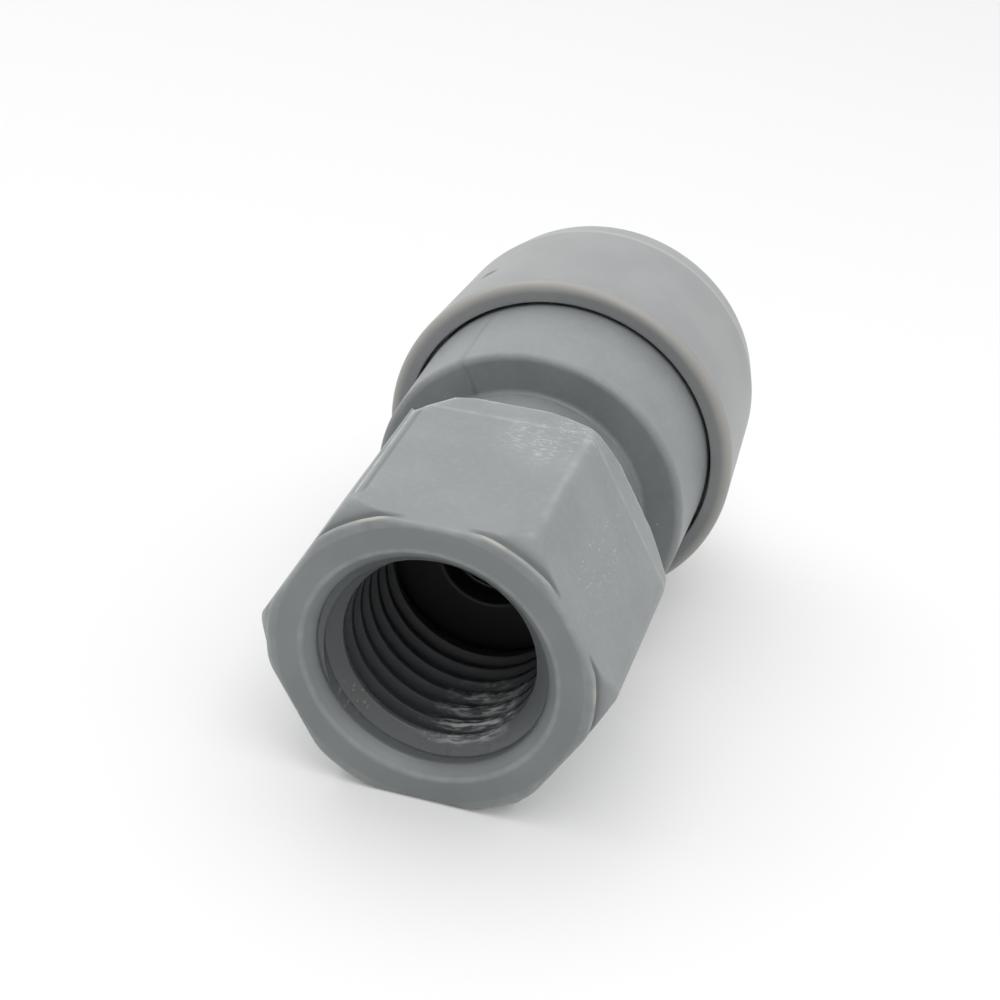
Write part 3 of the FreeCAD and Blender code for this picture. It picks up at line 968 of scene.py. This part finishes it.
@dataclass(frozen=True)
class BodyMoulding:
    """The body: hexagon, neck and barrel, with the threaded port and the tube socket.

    A field is a length in millimetres, or an angle in degrees where its name says so. Slopes, shares,
    the scales of noises and the steps of the full turn have no unit.
    """

    across_flats: float = 16.0
    draft_deg: float = 0.9
    hex_length: float = 13.45
    corner_round: float = 0.8
    bevel_length: float = 2.0
    bevel_depth: float = 0.14
    rim_radius: float = 8.32
    rim_round: float = 0.09
    rim_flare: float = 0.02
    rim_thickness: float = 0.2
    rim_groove: float = 0.12
    rim_groove_run: float = 0.12
    rim_groove_round: float = 0.05
    rim_step: float = 0.3
    rim_step_run: float = 0.5
    rim_step_round: float = 0.25
    nose_chamfer_deg: float = 57.0
    back_rim_radius: float = 8.3
    back_chamfer_deg: float = 49.0
    back_round: float = 0.1
    mouth_radius: float = 6.5
    mouth_round: float = 0.32
    mouth_chamfer: float = 0.6
    counterbore_radius: float = 5.85
    counterbore_depth: float = 1.5
    thread_start: float = 1.8
    thread_wall_radius: float = 5.6
    groove_start: float = 10.6
    groove_radius: float = 5.8
    port_depth: float = 12.2
    passage_radius: float = 2.5
    neck_radius: float = 6.6
    neck_front_round: float = 0.2
    neck_root_round: float = 0.3
    shoulder: float = 17.8
    shoulder_round: float = 0.4
    barrel_front_radius: float = 8.95
    barrel_radius: float = 9.15
    spigot_start: float = 25.7
    spigot_radius: float = 8.35
    spigot_end: float = 30.0
    tube_stop: float = 17.0
    tube_bore_radius: float = 4.1
    gland_start: float = 19.0
    gland_radius: float = 5.85
    chamber_start: float = 25.8
    chamber_radius: float = 7.3
    press_start: float = 6.95
    nose_edge_round: float = 0.25
    back_edge_round: float = 0.1
    edge_softness: float = 0.14
    seam_allowance: float = 0.004
    fine_pitch: float = 0.08
    steps: int = 480
    flash_deg: tuple[float, ...] = (60.75, 240.75)
    flash_height: float = 0.08
    flash_groove: float = 0.08
    flash_groove_deg: float = 1.5
    flash_groove_half_deg: float = 0.45
    flash_start: float = 1.7
    flash_back_gap: float = 1.0
    flash_share: float = 0.75
    unevenness_share: float = 0.5
    unevenness_scale: float = 1.7
    trim_floor: float = 8.0
    trim_depth: float = 0.15
    trim_slope: float = 0.3
    trim_sweep_deg: float = 9.3
    nib_deg: float = 68.0
    nib_sweep_deg: float = 1.6
    nib_height: float = 0.14
    ragged_height: float = 0.05
    ragged_reach: float = 0.12
    ragged_scale: float = 3.1
    ragged_inset: float = 0.4

    @property
    def bevel_start(self) -> float:
        """Place where the flats turn down towards the back face."""
        return self.hex_length - self.bevel_length

    @property
    def widest_apothem(self) -> float:
        """Half the width across the flats where the hexagon is widest."""
        return self.across_flats / 2 + self.bevel_start * math.tan(math.radians(self.draft_deg))

    @property
    def corner_radius(self) -> float:
        """Distance from the axis to the hexagon's widest sharp corner."""
        return self.widest_apothem / math.cos(HALF_SIDE)

    @property
    def mount_place(self) -> float:
        """Place of the threaded port's mount along the axis."""
        return (self.thread_start + self.groove_start) / 2

    def corners(self) -> list[Corner]:
        """Corners of the section before the hexagon is pressed into it."""
        nose_run = (self.corner_radius - self.rim_radius) * math.tan(math.radians(self.nose_chamfer_deg))
        back_run = (self.corner_radius - self.back_rim_radius) * math.tan(math.radians(self.back_chamfer_deg))
        groove_floor = self.rim_radius - self.rim_groove
        fine = self.fine_pitch
        return [
            Corner(0, self.mouth_radius, self.mouth_round, pitch=0.4),
            Corner(0, self.rim_radius, self.rim_round, fine),
            Corner(self.rim_thickness, self.rim_radius + self.rim_flare, self.rim_groove_round, fine),
            Corner(self.rim_thickness + self.rim_groove_run, groove_floor, self.rim_groove_round, fine),
            Corner(
                self.rim_thickness + self.rim_step_run, self.rim_radius + self.rim_step,
                self.rim_step_round, fine,
            ),
            Corner(nose_run, self.corner_radius, 0, pitch=0.9),
            Corner(self.bevel_start, self.corner_radius, 0, fine),
            Corner(self.hex_length - back_run, self.corner_radius, 0, fine),
            Corner(self.hex_length, self.back_rim_radius, self.back_round, pitch=0.3),
            Corner(self.hex_length, self.neck_radius, self.neck_front_round, pitch=1.0),
            Corner(self.shoulder, self.neck_radius, self.neck_root_round, pitch=0.8),
            Corner(self.shoulder, self.barrel_front_radius, self.shoulder_round, pitch=1.0),
            Corner(self.spigot_start, self.barrel_radius, 0),
            Corner(self.spigot_start, self.spigot_radius, 0),
            Corner(self.spigot_end, self.spigot_radius, 0),
            Corner(self.spigot_end, self.chamber_radius, 0),
            Corner(self.chamber_start, self.chamber_radius, 0),
            Corner(self.chamber_start, self.gland_radius, 0),
            Corner(self.gland_start, self.gland_radius, 0),
            Corner(self.gland_start, self.tube_bore_radius, 0),
            Corner(self.tube_stop, self.tube_bore_radius, 0),
            Corner(self.tube_stop, self.passage_radius, 0),
            Corner(self.port_depth, self.passage_radius),
            Corner(self.port_depth, self.groove_radius),
            Corner(self.groove_start, self.groove_radius),
            Corner(self.groove_start, self.thread_wall_radius),
            Corner(self.thread_start, self.thread_wall_radius),
            Corner(self.counterbore_depth, self.counterbore_radius),
            Corner(self.mouth_chamfer, self.mouth_radius - self.mouth_chamfer, self.mouth_round),
        ]

    def edge_fall(self, x: float) -> float:
        """How far the flats fall away in the rounds beside the nose face and the back face."""
        front = max(0.0, 1 - x / self.nose_edge_round)
        back = max(0.0, 1 - max(0.0, self.hex_length - x) / self.back_edge_round)
        front_fall = self.nose_edge_round * (1 - math.sqrt(1 - front * front))
        return front_fall + self.back_edge_round * (1 - math.sqrt(1 - back * back))

    def hexagon_reach(self, angle: float, x: float) -> float:
        """Distance from the axis to the hexagon's side.

        Args:
            angle: angle about the axis, in radians from the left.
            x: place along the axis.

        Returns:
            The distance, with the draft, rounded corners and the shallow bevel at the back.
        """
        bevel = max(0.0, x - self.bevel_start) / self.bevel_length
        draft = min(x, self.bevel_start) * math.tan(math.radians(self.draft_deg))
        apothem = self.across_flats / 2 + draft - self.bevel_depth * bevel - self.edge_fall(x)
        from_corner = (angle + HALF_SIDE) % (2 * HALF_SIDE) - HALF_SIDE
        arc_centre = (apothem - self.corner_round) / math.cos(HALF_SIDE)
        arc_end = arc_centre + self.corner_round * math.cos(HALF_SIDE)
        if abs(from_corner) < math.atan2(self.corner_round / 2, arc_end):
            side = arc_centre * math.sin(from_corner)
            return arc_centre * math.cos(from_corner) + math.sqrt(self.corner_round ** 2 - side ** 2)
        return apothem / math.cos(HALF_SIDE - abs(from_corner))

    def press_hexagon(self, mesh: bmesh.types.BMesh) -> None:
        """Press the six flats into the turned nose.

        Args:
            mesh: the turned body, on its own axis.
        """
        for vert in mesh.verts:
            x = vert.co.x
            radius = math.hypot(vert.co.y, vert.co.z)
            if radius < self.press_start or x > self.hex_length + self.seam_allowance:
                continue
            reach = self.hexagon_reach(math.atan2(vert.co.z, vert.co.y), x)
            overlap = max(0.0, self.edge_softness - abs(radius - reach)) / self.edge_softness
            pressed = min(radius, reach) - overlap ** 2 * self.edge_softness / 4
            vert.co.y *= pressed / radius
            vert.co.z *= pressed / radius
            if pressed > self.trim_floor:
                vert.co.x = min(x, self.trimmed_end(math.degrees(math.atan2(vert.co.z, vert.co.y))))
        bmesh.ops.remove_doubles(mesh, verts=mesh.verts, dist=self.seam_allowance)

    def trimmed_end(self, angle: float) -> float:
        """Place where the hexagon ends at an angle in degrees: the corner at the parting line is cut back."""
        beyond = abs(angle - self.flash_deg[0]) - self.trim_sweep_deg
        return self.hex_length - self.trim_depth + self.trim_slope * beyond

    def flash_lift(self, x: float, angle: float) -> float:
        """How far a point stands out on the flash, or lies in the groove beside it.

        Args:
            x: place along the axis.
            angle: angle about the axis, in degrees from the left.

        Returns:
            The height before it is made uneven, and 0 elsewhere.
        """
        half_step = 180.0 / self.steps
        beside = min(abs(angle - line) for line in self.flash_deg)
        on_hexagon = self.flash_start < x < self.hex_length
        if beside < half_step and (on_hexagon or x > self.hex_length):
            return self.flash_height
        if on_hexagon and abs(beside - self.flash_groove_deg) < self.flash_groove_half_deg:
            return -self.flash_groove
        return 0.0

    def raise_flash(self, mesh: bmesh.types.BMesh) -> None:
        """Raise the mould's flash along both parting lines, and roughen the hexagon's back edge.

        Args:
            mesh: the pressed body, on its own axis.
        """
        mesh.normal_update()
        flash_end = self.spigot_start - self.flash_back_gap
        for vert in mesh.verts:
            x = vert.co.x
            radius = math.hypot(vert.co.y, vert.co.z)
            if radius < self.press_start or not self.rim_thickness < x < flash_end:
                continue
            angle = math.degrees(math.atan2(vert.co.z, vert.co.y)) % 360
            uneven = self.unevenness_share * noise.noise(vert.co * self.unevenness_scale)
            lift = self.flash_lift(x, angle) * (self.flash_share + uneven)
            back_edge = max(0.0, 1 - abs(x - self.hex_length) / self.ragged_reach)
            if back_edge > 0 and radius > self.press_start + self.ragged_inset:
                lift += self.ragged_height * back_edge * noise.noise(vert.co * self.ragged_scale)
                nib = max(0.0, 1 - abs(angle - self.nib_deg) / self.nib_sweep_deg)
                lift += self.nib_height * nib * back_edge
            vert.co += vert.normal * lift

    def build(self, shop: Workshop, material: bpy.types.Material) -> bpy.types.Object:
        """Turn the body, press its hexagon, raise its flash and finish it."""
        mesh = Lathe(steps=self.steps).turned(self.corners())
        self.press_hexagon(mesh)
        self.raise_flash(mesh)
        return shop.piece("body_moulding", mesh, Body.FITTING, Slot.MOULDING, material, ("body",))


@dataclass(frozen=True)
class PortThread:
    """Helical ridge of the 7/16-20 thread in the port, in millimetres and degrees."""

    pitch: float = 1.27
    crest_radius: float = 5.0
    root_radius: float = 6.1
    crest_width: float = 0.32
    crest_round: float = 0.09
    flank_deg: float = 30.0
    base_half_width: float = 0.61
    start: float = 0.6
    start_angle_deg: float = 300.0
    sectors: int = 93
    fade_turns: float = 0.35
    lead_end: float = 1.65
    lead_slope: float = 0.98
    lead_radius: float = 6.0
    mouth_reach: float = 6.7
    lathe: Lathe = Lathe(steps=120, small_arc_steps=3, support=0.03)
    least_height: float = 0.05

    @property
    def turns(self) -> float:
        """Turns of the ridge from its start to its end."""
        return self.sectors / self.lathe.sectors

    def corners(self) -> list[Corner]:
        """Section of the ridge, from its buried foot to its crest."""
        half = self.crest_width / 2
        rise = (self.base_half_width - half) / math.tan(math.radians(self.flank_deg))
        foot = self.crest_radius + rise
        return [
            Corner(-self.base_half_width, self.root_radius, 0),
            Corner(-self.base_half_width, foot, 0, pitch=0.12),
            Corner(-half, self.crest_radius, self.crest_round),
            Corner(half, self.crest_radius, self.crest_round, pitch=0.12),
            Corner(self.base_half_width, foot, 0),
            Corner(self.base_half_width, self.root_radius, 0),
        ]

    def build(self, shop: Workshop, material: bpy.types.Material) -> bpy.types.Object:
        """Sweep the ridge's section along its helix, shape both ends and close them."""
        turn = Matrix.Rotation(math.radians(self.start_angle_deg) - math.pi / 2, 3, "X")
        mesh = self.lathe.swept(self.corners(), turn, self.pitch, self.sectors)
        bmesh.ops.translate(mesh, vec=(self.start, 0, 0), verts=mesh.verts)
        self.shape_ends(mesh)
        ends = [edge for edge in mesh.edges if edge.is_boundary]
        bmesh.ops.holes_fill(mesh, edges=ends, sides=0)
        bmesh.ops.recalc_face_normals(mesh, faces=mesh.faces)
        return shop.piece("port_thread", mesh, Body.FITTING, Slot.MOULDING, material)

    def shape_ends(self, mesh: bmesh.types.BMesh) -> None:
        """Fade both ends of the ridge into the wall, and turn its mouth end to the countersink.

        Args:
            mesh: the swept ridge.
        """
        start_angle = math.radians(self.start_angle_deg)
        for vert in mesh.verts:
            angle = math.atan2(vert.co.z, vert.co.y) - start_angle
            along = (vert.co.x - self.start) / self.pitch
            turn = angle / FULL_TURN + round(along - angle / FULL_TURN)
            share = min(turn, self.turns - turn) / self.fade_turns
            share = min(1.0, max(0.0, share))
            height = self.least_height + (1 - self.least_height) * share * share * (3 - 2 * share)
            radius = math.hypot(vert.co.y, vert.co.z)
            faded = self.root_radius + (radius - self.root_radius) * height
            countersink = self.crest_radius + (self.lead_end - vert.co.x) * self.lead_slope
            shaped = max(faded, min(self.lead_radius, countersink), self.mouth_reach - vert.co.x)
            vert.co.y *= shaped / radius
            vert.co.z *= shaped / radius


@dataclass(frozen=True)
class PortWasher:
    """Flat rubber washer on the floor of the port, in millimetres."""

    front: float = 10.8
    back: float = 12.2
    bore_radius: float = 2.7
    outer_radius: float = 5.7
    edge_round: float = 0.2
    back_round: float = 0.05

    def build(self, shop: Workshop, material: bpy.types.Material) -> bpy.types.Object:
        """Turn the washer."""
        mesh = Lathe(steps=144).turned([
            Corner(self.front, self.bore_radius, self.edge_round),
            Corner(self.front, self.outer_radius, self.edge_round),
            Corner(self.back, self.outer_radius, self.back_round),
            Corner(self.back, self.bore_radius, self.back_round),
        ])
        return shop.piece("washer_disc", mesh, Body.FITTING, Slot.WASHER, material, ("port_washer",))


@dataclass(frozen=True)
class RetainingCollar:
    """Collar over the barrel's end, in millimetres."""

    front: float = 24.45
    back: float = 36.6
    lip_radius: float = 10.55
    lip_round: float = 0.55
    back_chamfer: float = 2.2
    back_fall: float = 0.42
    back_chamfer_radius: float = 10.16
    back_chamfer_round: float = 0.25
    back_round: float = 0.22
    lip_bore_radius: float = 9.33
    lip_bore_round: float = 0.06
    inner_round: float = 0.05
    step: float = 25.7
    sleeve_bore_radius: float = 8.35
    cam_start: float = 30.0
    cam_end: float = 32.4
    cam_start_radius: float = 7.3
    cam_end_radius: float = 6.2
    wall_start: float = 34.9
    opening_radius: float = 5.95
    mouth_round: float = 0.4

    def build(self, shop: Workshop, material: bpy.types.Material) -> bpy.types.Object:
        """Turn the collar."""
        outside = [
            Corner(self.front, self.lip_bore_radius, self.lip_bore_round),
            Corner(self.front, self.lip_radius, self.lip_round),
            Corner(self.back - self.back_chamfer, self.back_chamfer_radius, self.back_chamfer_round),
            Corner(self.back, self.back_chamfer_radius - self.back_fall, self.back_round),
            Corner(self.back, self.opening_radius, self.mouth_round),
        ]
        inside = [
            (self.wall_start, self.opening_radius),
            (self.wall_start, self.cam_end_radius),
            (self.cam_end, self.cam_end_radius),
            (self.cam_start, self.cam_start_radius),
            (self.cam_start, self.sleeve_bore_radius),
            (self.step, self.sleeve_bore_radius),
            (self.step, self.lip_bore_radius),
        ]
        inner_corners = [Corner(x, radius, self.inner_round) for x, radius in inside]
        mesh = Lathe(steps=360, arc_steps=6).turned(outside + inner_corners)
        return shop.piece("collar_sleeve", mesh, Body.FITTING, Slot.COLLAR, material, ("retaining_collar",))


@dataclass(frozen=True)
class Internals:
    """The release collet, its teeth, the O-rings and their rings."""

    crease_deg: float = 25.0
    tooth_count: int = 6

    def build(self, shop: Workshop, finishes: dict[Slot, bpy.types.Material]) -> None:
        """Dress each inner piece with its own finish."""
        for node in ("inner_o_ring", "outer_o_ring"):
            shop.merged_copy(node, Body.FITTING, Slot.SEAL, finishes[Slot.SEAL], 180.0)
        for node in ("spacer_ring", "backing_ring"):
            shop.merged_copy(node, Body.FITTING, Slot.RING, finishes[Slot.RING], self.crease_deg)
        shop.merged_copy("release_collet", Body.COLLET, Slot.COLLET, finishes[Slot.COLLET], self.crease_deg)
        for number in range(1, self.tooth_count + 1):
            node = f"grip_tooth_{number}"
            shop.merged_copy(node, Body.COLLET, Slot.TOOTH, finishes[Slot.TOOTH], self.crease_deg)


@dataclass(frozen=True)
class Softbox:
    """A square area lamp that faces the adapter.

    Attributes:
        name: the lamp's name.
        azimuth_deg: direction to the lamp, from +X towards +Y.
        elevation_deg: its height above the horizon.
        distance: distance from the adapter, in metres.
        side: length of its side, in metres.
        watts: its power.
    """

    name: str
    azimuth_deg: float
    elevation_deg: float
    distance: float
    side: float
    watts: float

    def build(self) -> None:
        """Place the lamp."""
        lamp = bpy.data.lights.new(self.name, "AREA")
        lamp.energy = self.watts
        lamp.size = self.side
        azimuth, elevation = math.radians(self.azimuth_deg), math.radians(self.elevation_deg)
        level = math.cos(elevation)
        towards = Vector((level * math.cos(azimuth), level * math.sin(azimuth), math.sin(elevation)))
        thing = bpy.data.objects.new(self.name, lamp)
        thing.location = towards * self.distance
        thing.rotation_mode = "QUATERNION"
        thing.rotation_quaternion = towards.to_track_quat("Z", "Y")
        bpy.context.scene.collection.objects.link(thing)


@dataclass(frozen=True)
class Camera:
    """The photograph's viewpoint on the adapter's own axes, in millimetres and degrees."""

    place: tuple[float, float, float] = (-66.82, -19.955, 49.4)
    heading_deg: float = 14.226
    fall_deg: float = 29.673
    roll_deg: float = 4.219
    lens: float = 63.612
    sensor: float = 36.0

    def build(self, axis: AxisFrame) -> None:
        """Make the camera and let the scene use it."""
        data = bpy.data.cameras.new("camera")
        data.lens = self.lens
        data.sensor_width = self.sensor
        data.clip_start = 0.001
        data.clip_end = 20.0
        heading, fall = math.radians(self.heading_deg), math.radians(self.fall_deg)
        level = math.cos(fall)
        view = Vector((level * math.cos(heading), level * math.sin(heading), -math.sin(fall)))
        camera = bpy.data.objects.new("camera", data)
        camera.location = axis.matrix @ Vector(self.place)
        camera.rotation_mode = "QUATERNION"
        roll = Quaternion((0.0, 0.0, 1.0), math.radians(self.roll_deg))
        camera.rotation_quaternion = axis.turn.to_quaternion() @ view.to_track_quat("-Z", "Y") @ roll
        bpy.context.scene.collection.objects.link(camera)
        bpy.context.scene.camera = camera


@dataclass(frozen=True)
class Studio:
    """Pale floor, soft lamps and a bright surround."""

    floor_side: float = 6.0
    floor_colour: Colour = (0.61, 0.615, 0.61, 1.0)
    floor_roughness: float = 0.6
    floor_gloss: float = 0.2
    floor_glow: float = 0.2
    front_level: float = 0.26
    back_level: float = 0.9
    front_to_back: tuple[float, float] = (-0.9, 0.2)
    top_level: float = 0.35
    side_to_top: tuple[float, float] = (0.25, 0.9)
    lamps: tuple[Softbox, ...] = (
        Softbox("key_softbox", 72.0, 60.0, 0.6, 0.55, 0.82),
        Softbox("front_softbox", 205.0, 57.0, 0.3, 0.2, 0.3),
    )

    @staticmethod
    def shown(bench: Bench) -> bpy.types.NodeSocket:
        """1 for the rays that show the background: camera, glossy and transmission rays."""
        rays = bench.add("ShaderNodeLightPath").outputs
        seen = bench.math("MAXIMUM", rays["Is Camera Ray"], rays["Is Glossy Ray"])
        return bench.math("MAXIMUM", seen, rays["Is Transmission Ray"])

    def floor_material(self) -> bpy.types.Material:
        """White floor that keeps the adapter's shadow."""
        material = bpy.data.materials.new("studio_floor")
        material.use_nodes = True
        material.node_tree.nodes.clear()
        bench = Bench(material.node_tree)
        shader = bench.add("ShaderNodeBsdfPrincipled", {
            "Base Color": self.floor_colour, "Roughness": self.floor_roughness,
            "Specular IOR Level": self.floor_gloss, "Emission Color": (1.0, 1.0, 1.0, 1.0),
            "Emission Strength": bench.product(self.shown(bench), self.floor_glow),
        })
        bench.add("ShaderNodeOutputMaterial", {"Surface": shader.outputs[0]})
        return material

    def build(self, axis: AxisFrame) -> None:
        """Make the floor, the lamps, the surround and the camera."""
        mesh = bmesh.new()
        bmesh.ops.create_grid(mesh, x_segments=1, y_segments=1, size=self.floor_side / 2)
        data = bpy.data.meshes.new("studio_floor")
        mesh.to_mesh(data)
        mesh.free()
        data.materials.append(self.floor_material())
        floor = bpy.data.objects.new("studio_floor", data)
        bpy.context.scene.collection.objects.link(floor)
        for lamp in self.lamps:
            lamp.build()
        self.build_world()
        Camera().build(axis)
        bpy.context.scene.view_settings.view_transform = "Standard"

    def build_world(self) -> None:
        """White where it shows, and otherwise a soft light that is weaker in front."""
        world = bpy.data.worlds.new("surround")
        bpy.context.scene.world = world
        world.use_nodes = True
        world.node_tree.nodes.clear()
        bench = Bench(world.node_tree)
        towards = bench.add("ShaderNodeTexCoord").outputs["Generated"]
        parts = bench.add("ShaderNodeSeparateXYZ", {0: towards}).outputs
        level = bench.band(parts["X"], *self.front_to_back, self.front_level, self.back_level)
        level = bench.math("ADD", level, bench.band(parts["Z"], *self.side_to_top, 0.0, self.top_level))
        white = bench.math("MAXIMUM", level, self.shown(bench))
        shader = bench.add("ShaderNodeBackground", {"Color": (1.0, 1.0, 1.0, 1.0), "Strength": white})
        bench.add("ShaderNodeOutputWorld", {"Surface": shader.outputs[0]})


FINISHES = {
    Slot.MOULDING: BodyFinish("grey_moulding", (0.226, 0.241, 0.243), 0.43, 0.006, glow_through=0.6),
    Slot.COLLAR: CollarFinish("collar_moulding", (0.26, 0.268, 0.272), 0.36, 0.0008, glow_through=0.6),
    Slot.COLLET: Finish("collet_moulding", (0.255, 0.265, 0.268), 0.5, 0.0012),
    Slot.WASHER: Finish("black_rubber", (0.012, 0.012, 0.013), 0.55, 0.004),
    Slot.SEAL: Finish("seal_rubber", (0.014, 0.014, 0.014), 0.35, 0.001),
    Slot.RING: Finish("ring_plastic", (0.5, 0.5, 0.48), 0.45, 0.001),
    Slot.TOOTH: Finish("tooth_steel", (0.62, 0.62, 0.64), 0.3, 0.0006, 1.0),
}
# The thread's finish: the body's, with its painted shade and painted glints in the port, less gloss and a
# rougher port
SHADED_THREAD = replace(FINISHES[Slot.MOULDING], name="shaded_thread_moulding", gloss=0.3, port_roughness=0.4)


def main() -> None:
    """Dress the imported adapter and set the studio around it."""
    logging.basicConfig(level=logging.INFO, format="%(name)s: %(message)s")
    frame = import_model()
    body = BodyMoulding()
    axis = AxisFrame.from_record(frame["record"], body.mount_place)
    shop = Workshop(axis, frame["nodes"])
    effects = Effects.build(axis)
    finishes = {slot: finish.build(effects) for slot, finish in FINISHES.items()}
    body.build(shop, finishes[Slot.MOULDING])
    PortThread().build(shop, SHADED_THREAD.build(effects))
    PortWasher().build(shop, finishes[Slot.WASHER])
    RetainingCollar().build(shop, finishes[Slot.COLLAR])
    Internals().build(shop, finishes)
    Studio().build(axis)


if __name__ == "__main__":
    main()
